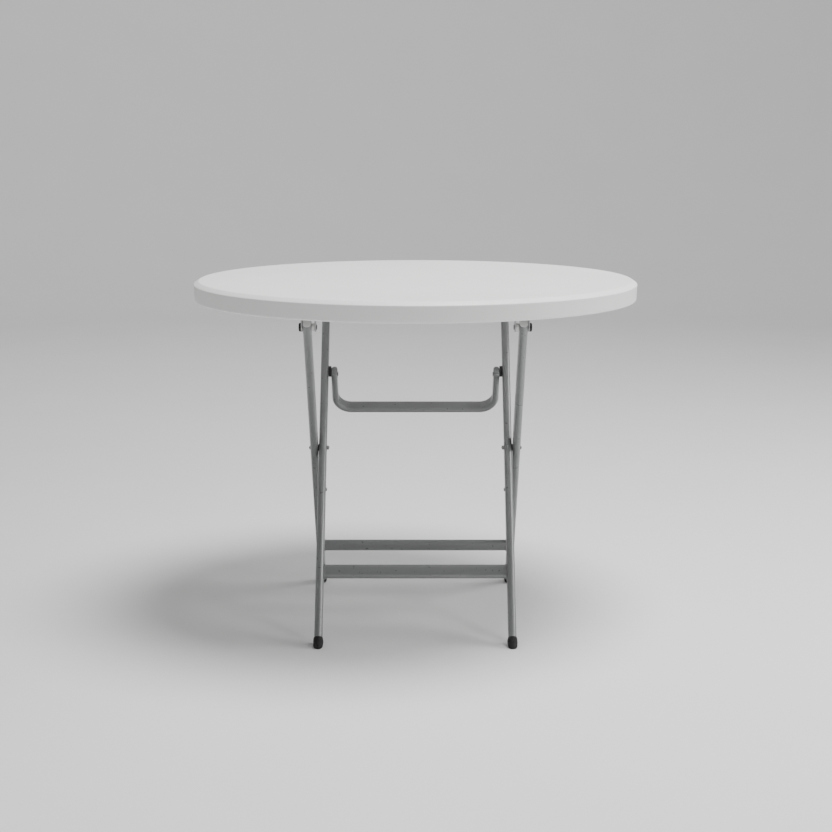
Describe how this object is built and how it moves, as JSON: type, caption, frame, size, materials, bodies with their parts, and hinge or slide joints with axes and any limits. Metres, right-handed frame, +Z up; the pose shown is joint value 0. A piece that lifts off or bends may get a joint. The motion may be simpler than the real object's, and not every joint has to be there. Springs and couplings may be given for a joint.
{
  "type": "folding table",
  "caption": "Round folding table: a moulded plastic top hinged to crossed flat-oval steel leg frames, with a swing-down bar between the legs.",
  "frame": {"origin": "on the floor below the centre of the round top, legs open", "axes": "+Z up, +X along the stretchers and hinge pins, -Y towards the hinged edge of the top"},
  "size_m": [0.94, 0.94, 0.74],
  "materials": {
    "top_plastic": "fine grain white polyethylene",
    "frame_paint": "satin grey powder coat",
    "zinc_steel": "zinc plated",
    "black_steel": "black oxide",
    "black_plastic": "moulded black",
    "grey_plastic": "moulded light grey",
    "foot_rubber": "matt black rubber"
  },
  "bodies": {
    "outer_frame": {"outer_leg_left": "frame_paint", "outer_leg_right": "frame_paint", "outer_foot_left": "foot_rubber", "outer_foot_right": "foot_rubber", "outer_top_plug_left": "grey_plastic", "outer_top_plug_right": "grey_plastic", "outer_stretcher": "frame_paint", "crossing_bolt_left": "black_steel", "crossing_bolt_right": "black_steel", "crossing_nut_left": "zinc_steel", "crossing_nut_right": "zinc_steel", "crossing_washer_left": "black_plastic", "crossing_washer_right": "black_plastic", "hinge_spacer_left": "grey_plastic", "hinge_spacer_right": "grey_plastic"},
    "inner_frame": {"inner_leg_left": "frame_paint", "inner_leg_right": "frame_paint", "inner_foot_left": "foot_rubber", "inner_foot_right": "foot_rubber", "inner_top_plug_left": "grey_plastic", "inner_top_plug_right": "grey_plastic", "inner_stretcher": "frame_paint", "inner_top_bar": "frame_paint", "inner_leg_rivet_left": "zinc_steel", "inner_leg_rivet_right": "zinc_steel", "swing_bar_pin_left": "black_steel", "swing_bar_pin_right": "black_steel", "pivot_plate_left": "black_plastic", "pivot_plate_right": "black_plastic"},
    "top": {"tabletop": "top_plastic", "hinge_bracket_left": "zinc_steel", "hinge_bracket_right": "zinc_steel", "hinge_pin_left": "black_steel", "hinge_pin_right": "black_steel", "bracket_screw_left_1": "zinc_steel", "bracket_screw_left_2": "zinc_steel", "bracket_screw_right_1": "zinc_steel", "bracket_screw_right_2": "zinc_steel", "catch_left": "black_plastic", "catch_right": "black_plastic", "catch_screw_left_1": "zinc_steel", "catch_screw_left_2": "zinc_steel", "catch_screw_right_1": "zinc_steel", "catch_screw_right_2": "zinc_steel"},
    "swing_bar": {"swing_bar": "frame_paint", "swing_bar_plug_left": "frame_paint", "swing_bar_plug_right": "frame_paint"}
  },
  "joints": [
    {"name": "leg_fold", "type": "hinge", "parent": "outer_frame", "child": "inner_frame", "pos_m": [0, 0, 0.371], "axis": [1, 0, 0], "range_deg": [0, 62.3]},
    {"name": "top_tilt", "type": "hinge", "parent": "outer_frame", "child": "top", "pos_m": [0, -0.1893, 0.658], "axis": [1, 0, 0], "range_deg": [0, 123.4]},
    {"name": "bar_swing", "type": "hinge", "parent": "inner_frame", "child": "swing_bar", "pos_m": [0, 0.0968, 0.5178], "axis": [1, 0, 0], "range_deg": [-66.8, 0]}
  ]
}
